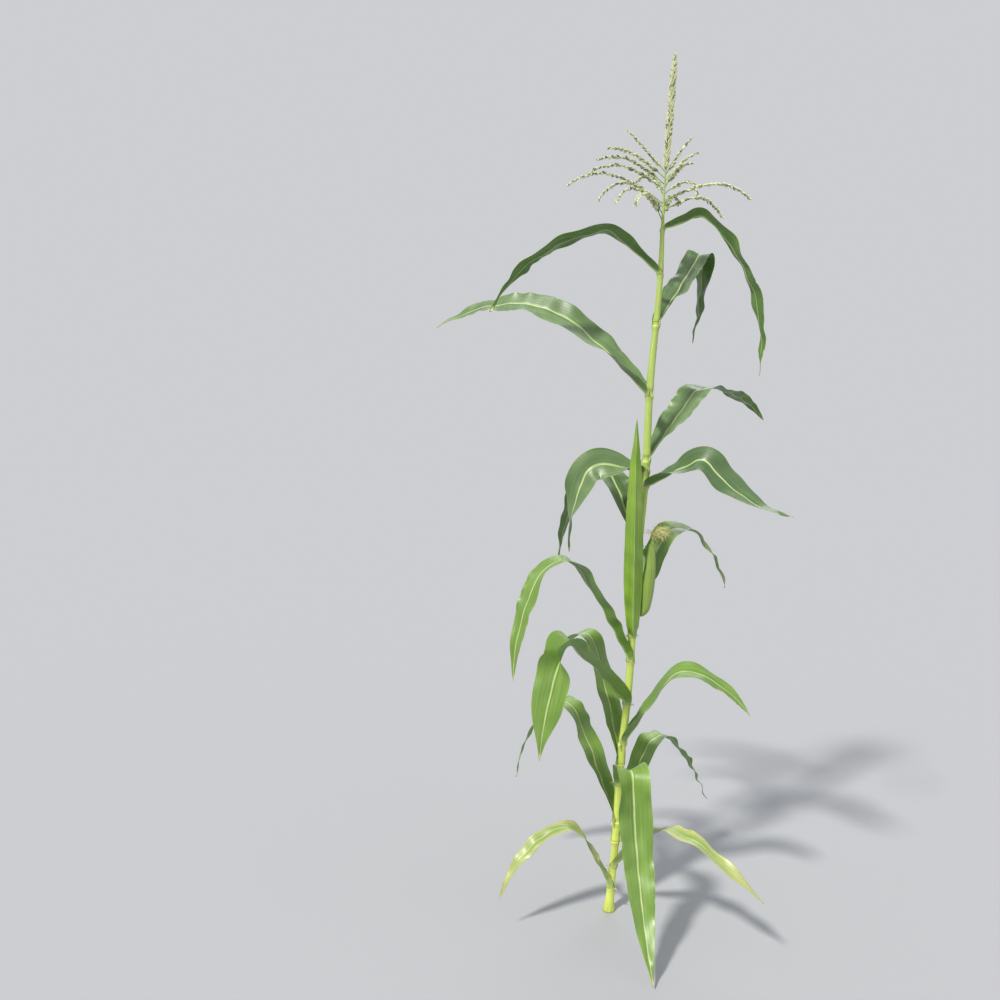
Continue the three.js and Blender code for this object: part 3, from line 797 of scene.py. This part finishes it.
def add_blade(limb, looks, rng):
    share, upper, lower, map_across = blade_surfaces(limb, rng)
    rows, columns = upper.shape[:2]
    ring = np.concatenate([upper, lower[:, -2:0:-1]], axis=1)
    ring_map = np.concatenate([map_across, map_across[:, -2:0:-1]], axis=1)
    wide = ring.shape[1]
    quads, row, column = strip_faces(rows, wide)
    places = np.stack([ring_map[row, column % wide], (share * limb.length)[row]], -1)
    # Each quad starts at the corner that gives both sides of the blade the same diagonals
    corners = np.where(column[:, :1] < columns - 1, [3, 2, 1, 0], [0, 3, 2, 1])
    quads = np.take_along_axis(quads, corners, 1)
    places = np.take_along_axis(places, corners[..., None], 1)
    faces = Faces()
    faces.tips = np.repeat((1 - share) * limb.length, wide)
    faces.add(ring, quads, blade_slots(column[:, 0], columns), places)
    top = np.arange(1, columns - 2)
    cap = np.stack([top, wide - top, wide - top - 1, top + 1], -1)
    corner_caps = np.array([[0, 1, wide - 1], [columns - 2, columns - 1, columns]])
    for start, way in ((0, -1), ((rows - 1) * wide, 1)):
        faces.add(None, cap[:, ::way] + start, EDGE, np.zeros((len(cap), 4, 2)))
        faces.add(None, corner_caps[:, ::-way] + start, EDGE, np.zeros((2, 3, 2)))
    nodes = [limb.name] if limb.whole else [f"{limb.name}_rise", f"{limb.name}_droop"]
    add_piece(f"blade_{limb.name[-2:]}", faces, looks[limb.look], nodes)


# Stem with its sheaths

def sheaths():
    """Foot height, top height and heading of the sheath below each leaf."""
    spans = []
    foot = LOWEST_SHEATH
    for each, above in zip(LEAVES, LEAVES[1:] + [None]):
        spans.append((foot, each.height, radians(each.heading)))
        if above:
            foot = mix(above.height, each.height, SHEATH_COVER)
    return spans


SHEATH, BARE, NODE_RING, SEAM = range(4)


def stem_relief(height, turn):
    """Radius of the dressed stem at a height and turn, and the material there."""
    lobes = BUTTRESS * np.cos(BUTTRESS_COUNT * turn) * np.exp(-np.maximum(height, 0) / FLARE_HEIGHT)
    radius = stem_radius(height) - BARE_SINK + lobes
    slots = np.full(radius.shape, BARE)
    for foot, top, heading in sheaths():
        inside = (height >= foot) & (height <= top + SHEATH_PAST)
        wander = 0.25 * np.sin(height / 37 + heading)
        past = np.mod(turn - heading - pi - wander, 2 * pi)
        seam = SEAM_RISE * np.maximum(0, 1 - past / SEAM_WIDTH)
        bulge = 0.8 * hump(height - foot - 7, 8) + 0.5 * hump(height - top, 9)
        ring = hump(height - foot + 3, NODE_RING_HALF) * ~inside
        radius = radius + np.where(inside, SHEATH_THICK + seam + bulge, NODE_RING_RISE * ring)
        slots = np.where(inside, np.where(past < SEAM_SHOWN, SEAM, SHEATH), slots)
        slots = np.where(ring > NODE_RING_SHOWN, NODE_RING, slots)
    return radius, slots


def add_stem():
    marks = [0, STEM_HEIGHT]
    for foot, top, _ in sheaths():
        end = top + SHEATH_PAST
        marks += [foot - 3, foot - 0.1, foot + 0.1, foot + 4, end - 0.1, end + 0.1]
    levels = np.union1d(np.arange(0, STEM_HEIGHT, STEM_STEP), [mark for mark in marks if mark >= 0])
    turn = spokes(STEM_SIDES)
    radius, _ = stem_relief(levels[:, None], turn)
    middles = (levels[1:] + levels[:-1]) / 2
    _, slots = stem_relief(middles[:, None], turn + pi / STEM_SIDES)
    side, front = np.eye(3)[:2, None]
    faces = Faces()
    add_tube(faces, stem_axis(levels), side, front, radius, STEM_SIDES, slots.ravel())
    materials = [
        stem_material("sheath", (206, 222, 104), (172, 194, 100), 0.42),
        stem_material("bare_stem", (220, 230, 118), (188, 206, 112), 0.36),
        stem_material("node_ring", (208, 208, 104), (170, 184, 92), 0.5),
        rib_material("sheath_margin", (214, 220, 150), (184, 198, 112)),
    ]
    add_piece("stem_relief", faces, materials, ["stem"])


# Tassel

def spindle(rings, sides):
    """A pointed grain of unit length along +Z: its points, its triangles and its quads."""
    rows = [radius * level_way(spokes(sides)) + height * UP for height, radius in rings]
    points = np.concatenate([[0 * UP], *rows, [UP]])
    first = np.arange(sides)
    follow = (first + 1) % sides
    last = 1 + (len(rings) - 1) * sides
    foot = np.stack([0 * first, 1 + follow, 1 + first], -1)
    tip = np.stack([last + first, last + follow, 0 * first + len(points) - 1], -1)
    return points, np.concatenate([foot, tip]), strip_faces(len(rings), sides)[0] + 1


# Heights and radii of their rings
GLUME = spindle([(0.14, 0.6), (0.4, 1.0), (0.68, 0.74), (0.88, 0.34)], 6)
ANTHER = spindle([(0.1, 0.8), (0.5, 1.0), (0.9, 0.8)], 5)


def add_grain(faces, shape, foot, along, wide, length, width, slot, flat):
    """A copy of a spindle, its length and width along two directions. flat: depth over width."""
    points, triangles, quads = shape
    front = np.cross(along, wide) * flat
    spread = (points[:, :1] * wide + points[:, 1:2] * front) * width / 2
    grain = foot + spread + points[:, 2:] * along * length
    for group, added in ((triangles, grain), (quads, None)):
        faces.add(added, group, slot, points[group][..., [0, 2]] * [width, length])
    faces.close()


def unit(vector):
    return vector / np.linalg.norm(vector, axis=-1, keepdims=True)


def spikelet(faces, anthers, rng, place, along, out, size, plump, green, flowering):
    """Two glumes, opened a little. green: the share of them that are still green."""
    wide = unit(np.cross(along, out))
    for way in (-1, 1):
        lean = unit(along + 0.13 * way * out + rng.normal(0, 0.04, 3))
        across = unit(wide - lean * np.dot(wide, lean))
        length = size * rng.uniform(0.9, 1.05)
        slot = int(rng.random() < green)
        foot = place + 0.35 * way * out
        add_grain(faces, GLUME, foot, lean, across, length, size * plump, slot, GLUME_FLAT)
    if rng.random() < flowering:
        hang_anthers(anthers, rng, place + along * size * 0.85)


def branch_spikelets(faces, anthers, limb, rng):
    """Pairs of spikelets by turns on the two lower sides of a tassel branch."""
    start = STALK_SHARE + 0.01
    green = rng.uniform(0.1, 0.5)
    count = int(limb.length * (SPIKELETS_END - start) / SPIKELET_PACE)
    for number in range(count):
        share = mix(start, SPIKELETS_END, (number + rng.uniform(-0.15, 0.15)) / max(1, count - 1))
        share = float(np.clip(share, start, SPIKELETS_END + 0.005))
        along, side, face = frame_at(limb, share)
        centre = point_on(limb, share)
        for pair, reach in ((0, 0.9), (1, 1.7)):
            way = (-1) ** (number + pair)
            out = turned(-face, side, radians(rng.uniform(30, 96)) * way)
            tilt = radians(rng.uniform(20, 38) + 5 * pair)
            place = centre + out * reach + along * 2.4 * pair
            size = rng.uniform(12.2, 14.6) * (1 - 0.3 * share**2)
            look = BRANCH_GLUME_WIDE, green, BRANCH_FLOWERING
            spikelet(faces, anthers, rng, place, turned(along, out, tilt), out, size, *look)


def hang_anthers(anthers, rng, place):
    """One to three anthers on fine threads from an open spikelet."""
    for _ in range(rng.integers(1, 4)):
        swing = unit(np.array([rng.normal(0, 0.35), rng.normal(0, 0.35), -1.0]))
        anthers.append((place + rng.normal(0, 0.3, 3), swing, rng.uniform(1.0, 2.6), rng.uniform(3.6, 4.8)))


def add_anthers(anthers):
    faces = Faces()
    for place, swing, drop, length in anthers:
        side = unit(np.cross(swing, [0.3, 1.0, 0.1]))
        front = np.cross(swing, side)
        ends = np.stack([place, place + swing * drop])
        add_tube(faces, ends, side[None], front[None], [THREAD_RADIUS, THREAD_RADIUS], 3, 1)
        add_grain(faces, ANTHER, ends[1], swing, side, length, ANTHER_WIDE, 0, ANTHER_FLAT)
    anther = dry_material("anther", (216, 200, 116), 0.3)
    thread = dry_material("thread", (222, 218, 170), 0.3)
    add_piece("anthers", faces, [anther, thread])


def add_rachis(faces, limb):
    """The thin, slightly angled stalk of one tassel branch."""
    share = np.linspace(0.012, 0.985, 44)
    along, side, face = frame_at(limb, share)
    wiggle = 0.35 * np.sin(share * limb.length / 3.6)[:, None] * ramp(share, STALK_SHARE, 0.3)[:, None]
    radius = mix(1.5, 0.6, share) * (1 + 0.18 * np.cos(share * limb.length * pi / SPIKELET_PACE))
    add_tube(faces, point_on(limb, share) + side * wiggle, side, face, radius, 8)


def add_spike(materials, anthers):
    """The middle spike, set all round with spikelets that close up at its tip."""
    rng = np.random.default_rng(41)
    start = stem_axis(STEM_HEIGHT)
    along = unit(stem_axis(STEM_HEIGHT + SPIKE_LENGTH) - start)
    side = unit(np.cross([0, 1.0, 0], along))
    front = np.cross(along, side)
    share = np.linspace(0, 0.97, 60)
    centres = start + along * SPIKE_LENGTH * share[:, None]
    radius = mix(3.6, 1.6, share) * (1 + 0.12 * np.cos(share * 160))
    faces = Faces()
    add_tube(faces, centres, side[None], front[None], radius, 10, 2)
    for row in range(SPIKE_ROWS):
        share = mix(0.012, 0.955, row / (SPIKE_ROWS - 1))
        centre = start + along * SPIKE_LENGTH * share
        body = sqrt(sin(pi * mix(0.16, 0.9, share)))
        closing = ramp(share, 0.8, 1)
        for turn in spokes(SPIKE_SPOKES) + pi * (row % 2) / SPIKE_SPOKES:
            out = turned(side, front, turn + rng.normal(0, 0.12))
            tilt = radians(rng.uniform(20, 34)) * mix(1, 0.35, closing)
            size = rng.uniform(11.2, 13.0) * mix(0.7, 1, body) * mix(1, 0.85, closing)
            place = centre + out * 4.1 * body * mix(1, 0.45, closing)
            look = SPIKE_GLUME_WIDE, SPIKE_GREEN, SPIKE_FLOWERING
            spikelet(faces, anthers, rng, place, turned(along, out, tilt), out, size, *look)
    add_piece("spike_spikelets", faces, materials, ["tassel_spike"])


def add_tassel():
    materials = [
        dry_material("glume_cream", (226, 228, 186), 0.45),
        dry_material("glume_green", (122, 142, 96), 0.45),
        dry_material("tassel_stalk", (158, 178, 92), 0.5),
    ]
    anthers = []
    add_spike(materials, anthers)
    faces = Faces()
    stalks = Faces()
    for number, limb in enumerate(BRANCHES):
        add_rachis(stalks, limb)
        branch_spikelets(faces, anthers, limb, np.random.default_rng(700 + number))
    add_piece("branch_stalks", stalks, materials[2:])
    add_piece("branch_spikelets", faces, materials[:2], [limb.name for limb in BRANCHES])
    add_anthers(anthers)


# Ear and silk

def husk_leaf(faces, number, rng):
    """One husk leaf wrapped round the ear, with a free pointed tip."""
    start = HUSK_START * mix(0.75, 1.1, number / HUSK_LEAVES)
    end = mix(0.8, 0.985, (number * 0.618) % 1)
    share = np.linspace(start, end, 46)
    place = (share - start) / (end - start)
    column = np.linspace(-1, 1, 19)
    pointed = np.maximum(0, 1 - np.maximum(0, (place - 0.35) / 0.65) ** 2.6)
    half = HUSK_WRAP * np.sqrt(pointed) + 0.015
    angle = radians(HUSK_TURN * number + 20) + column * half[:, None]
    ribs = 0.22 * np.cos(column * 9 * pi) * np.sin(pi * np.clip(place, 0.02, 0.98))[:, None]
    lift = rng.uniform(0.4, 1.4) * ramp(place, 0.82, 1.0)
    base = ear_radius(share) - HUSK_SINK - HUSK_LAYER * (HUSK_LEAVES - number) + lift
    _, side, face = frame_at(EAR, share)
    out = turned(side[:, None], face[:, None], angle)
    sheets = []
    for through in (HUSK_HALF_THICK, -HUSK_HALF_THICK):
        radius = base[:, None] + ribs + through * (1 - column**6)
        sheets.append(point_on(EAR, share)[:, None] + out * radius[..., None])
    ring = np.concatenate([sheets[0], sheets[1][:, -2:0:-1]], axis=1)
    across = np.concatenate([column, column[-2::-1]]) * HUSK_MAP_HALF
    add_shell(faces, ring, across, share * EAR.length, number % 2, number % 2)


def add_ear():
    share = np.linspace(0.0, 0.99, 70)
    _, side, face = frame_at(EAR, share)
    body = ear_radius(share) - 1.9 * ramp(share, HUSK_START, 0.2)
    ribs = 1 + 0.012 * np.cos(spokes(EAR_SIDES) * 14)
    radius = np.maximum(body, 1.2)[:, None] * ribs
    faces = Faces()
    add_tube(faces, point_on(EAR, share), side, face, radius, EAR_SIDES)
    for number in range(HUSK_LEAVES):
        husk_leaf(faces, number, np.random.default_rng(90 + number))
    husk = blade_material("husk_outer", (124, 154, 58), (172, 192, 106), 0.5, 0.1)
    inner = blade_material("husk_inner", (146, 172, 80), (190, 204, 128), 0.5, 0.1)
    add_piece("husk", faces, [husk, inner], ["ear"])


def silk_strand(faces, rng, root, aim):
    """A fine thread that leaves the husk upwards and curls over."""
    share = np.linspace(0, 1, SILK_POINTS)
    length = rng.uniform(45, 88)
    heading = aim + np.cumsum(rng.normal(0, 0.11, SILK_POINTS)) + rng.uniform(-0.8, 0.8) * share
    climb = rng.uniform(52, 86)
    fall = rng.uniform(90, 165)
    slope = np.radians(climb - fall * share**1.25) + rng.normal(0, 0.06, SILK_POINTS)
    ways = turned(level_way(heading), UP, slope)
    centres = root + np.vstack([0 * UP, np.cumsum(ways[:-1], axis=0) * length / SILK_POINTS])
    side = unit(np.cross(ways, [0.1, 0.2, 1.0]))
    radius = mix(0.34, 0.2, share)
    add_tube(faces, centres, side, np.cross(ways, side), radius, 4, int(rng.random() >= 0.7))


def add_silk():
    rng = np.random.default_rng(5)
    along, side, face = frame_at(EAR, 1.0)
    tip = point_on(EAR, 0.965)
    faces = Faces()
    for _ in range(SILK_COUNT):
        aim = radians(EAR.heading + SILK_SPREAD * np.clip(rng.normal(0, 0.5), -1, 1))
        out = turned(side, face, rng.uniform(0, 2 * pi))
        root = tip + out * rng.uniform(0, 3.4) + along * rng.uniform(-4, 6)
        silk_strand(faces, rng, root, aim)
    pale = dry_material("silk_pale", (222, 224, 158), 0.4)
    warm = dry_material("silk_warm", (204, 188, 122), 0.4)
    add_piece("silk_threads", faces, [pale, warm], ["silk"])


# Ligules and loose scraps at the joints

def thin_sheet(faces, outer, inner):
    """A thin closed sheet between two grids of points."""
    ring = np.concatenate([outer, inner[:, ::-1]], axis=1)
    add_shell(faces, ring, np.arange(ring.shape[1] + 1), np.arange(len(ring)) * 1.5)


def ligule(faces, limb, rng):
    """The thin pale membrane that stands between a blade and the stem."""
    column = np.linspace(-1, 1, LIGULE_COLUMNS)
    out = level_way(radians(limb.heading) + column * LIGULE_WRAP)
    torn = 1 + 0.35 * np.sin(column * 9 + rng.uniform(0, 6)) * rng.uniform(0, 1, LIGULE_COLUMNS)
    tall = (3.6 + 2.2 * np.cos(column * 2.2)) * torn
    share = np.linspace(0, 1, 6)[:, None]
    height = limb.height + 0.5 + share * tall
    flare = rng.uniform(0.6, 2.2) * (1 + 0.5 * np.sin(column * 5 + rng.uniform(0, 6)))
    sheets = []
    for through in LIGULE_SURFACES:
        radius = stem_radius(height) + through + share**2 * flare
        sheets.append(stem_axis(height) + out * radius[..., None])
    thin_sheet(faces, *sheets)


def scrap(faces, limb, rng, way):
    """A curled papery scrap of old sheath at the side of a joint."""
    share = np.linspace(0, 1, SCRAP_ROWS)[:, None]
    column = np.linspace(-1, 1, 7)
    out = level_way(radians(limb.heading) + way * radians(rng.uniform(95, 150)))
    side = np.cross(UP, out)
    step = rng.uniform(9, 20) / SCRAP_ROWS
    width = rng.uniform(2.5, 4.5) * (1 - 0.94 * share**3)
    width = width * (1 + 0.25 * np.sin(share * 7 + rng.uniform(0, 6)))
    slope = radians(rng.uniform(25, 75)) - radians(rng.uniform(60, 170)) * share**1.4
    forward = np.cumsum(np.cos(slope), axis=0) * step
    upward = np.cumsum(np.sin(slope), axis=0) * step
    root = stem_axis(limb.height - 1.0) + out * (stem_radius(limb.height) + 0.4)
    hollow = 0.22 * width * column**2
    sheets = []
    for through in (-SCRAP_HALF_THICK, SCRAP_HALF_THICK):
        level = (forward - (hollow + through) * np.sin(slope))[..., None] * out
        rise = (upward + (hollow + through) * np.cos(slope))[..., None] * UP
        sheets.append(root + level + rise + (column * width)[..., None] * side)
    thin_sheet(faces, *sheets)


def add_ligules():
    faces = Faces()
    for number, limb in enumerate(LEAVES):
        rng = np.random.default_rng(300 + number)
        ligule(faces, limb, rng)
        if limb.height < SCRAPS_BELOW:
            for way in (-1, 1):
                scrap(faces, limb, rng, way)
    add_piece("ligules", faces, [dry_material("ligule", (206, 202, 150), 0.5)])


# Stage

def add_floor():
    corners = [(x * FLOOR_HALF, y * FLOOR_HALF, 0) for x, y in ((-1, -1), (1, -1), (1, 1), (-1, 1))]
    mesh = bpy.data.meshes.new("floor")
    mesh.from_pydata(corners, [], [(0, 1, 2, 3)])
    floor = add_object("floor", mesh)
    shader = Shader("floor", 0.8)
    shader.surface["Specular IOR Level"].default_value = 0.0
    mesh.materials.append(shader.finish(FLOOR_COLOUR))


def add_sun(name, heading, height, strength, spread, colour=(1, 1, 1)):
    """A soft light from a heading and a height above the level, in degrees."""
    lamp = bpy.data.lights.new(name, "SUN")
    lamp.energy = strength
    lamp.angle = radians(spread)
    lamp.color = colour
    lit = add_object(name, lamp)
    lit.rotation_euler = (radians(90 - height), 0, radians(heading + 90))


def add_lights():
    world = bpy.data.worlds.new("studio")
    world.use_nodes = True
    sky = world.node_tree.nodes["Background"].inputs
    sky["Color"].default_value = SKY_COLOUR
    sky["Strength"].default_value = SKY_STRENGTH
    bpy.context.scene.world = world
    add_sun("key", 228, 50, 3.6, 6, (1.0, 0.97, 0.9))
    add_sun("fill", 330, 22, 0.35, 60)
    add_sun("back", 75, 40, 0.7, 40)


def add_camera():
    lens = bpy.data.cameras.new("camera")
    lens.lens = CAMERA_LENS
    camera = add_object("camera", lens)
    camera.location = CAMERA_PLACE
    camera.rotation_euler = (radians(90 + CAMERA_PITCH), 0, 0)
    bpy.context.scene.camera = camera


bpy.context.scene.view_settings.view_transform = "Standard"
add_camera()
add_floor()
add_lights()
add_stem()
looks = leaf_materials()
for number, limb in enumerate(LEAVES):
    add_blade(limb, looks, np.random.default_rng(100 + number))
add_ligules()
add_ear()
add_silk()
add_tassel()

bpy.context.view_layer.update()
